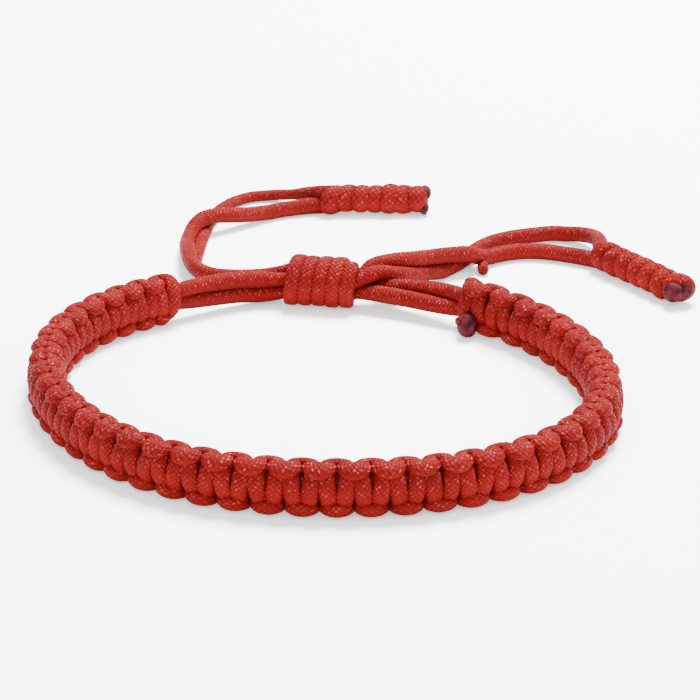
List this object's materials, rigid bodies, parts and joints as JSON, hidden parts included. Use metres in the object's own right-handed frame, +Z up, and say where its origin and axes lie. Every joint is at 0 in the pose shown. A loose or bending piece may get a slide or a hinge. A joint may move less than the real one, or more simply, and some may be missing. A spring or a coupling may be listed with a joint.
{
  "type": "sliding knot bracelet",
  "caption": "Adjustable wrist bracelet of red cord: a square-knotted band on two core cords, a wrapped sliding knot and two pairs of tails ending in small knots.",
  "frame": {"origin": "centre of the loop's own box (band, core cords and sliding knot), on the surface that the bracelet rests on", "axes": "+Z up through the wrist opening, +Y towards the sliding knot, +X to the right seen from the front of the band"},
  "size_m": [0.0806, 0.0992, 0.0062],
  "materials": {
    "braided_cord": "satin braided sheath",
    "melted_end": "glossy, melted"
  },
  "bodies": {
    "root": {"front_strand": "braided_cord", "back_strand": "braided_cord", "core_cord_upper": "braided_cord", "core_cord_lower": "braided_cord", "sliding_knot": "braided_cord", "left_tail_outer": "braided_cord", "left_tail_inner": "braided_cord", "right_tail_rear": "braided_cord", "right_tail_front": "braided_cord", "left_tie_knot": "braided_cord", "right_tie_knot": "braided_cord", "left_tip_high": "melted_end", "left_tip_low": "melted_end", "right_tip_rear": "melted_end", "right_tip_front": "melted_end", "band_tip_low": "melted_end", "band_tip_high": "melted_end", "tail_stub": "braided_cord"}
  },
  "joints": []
}
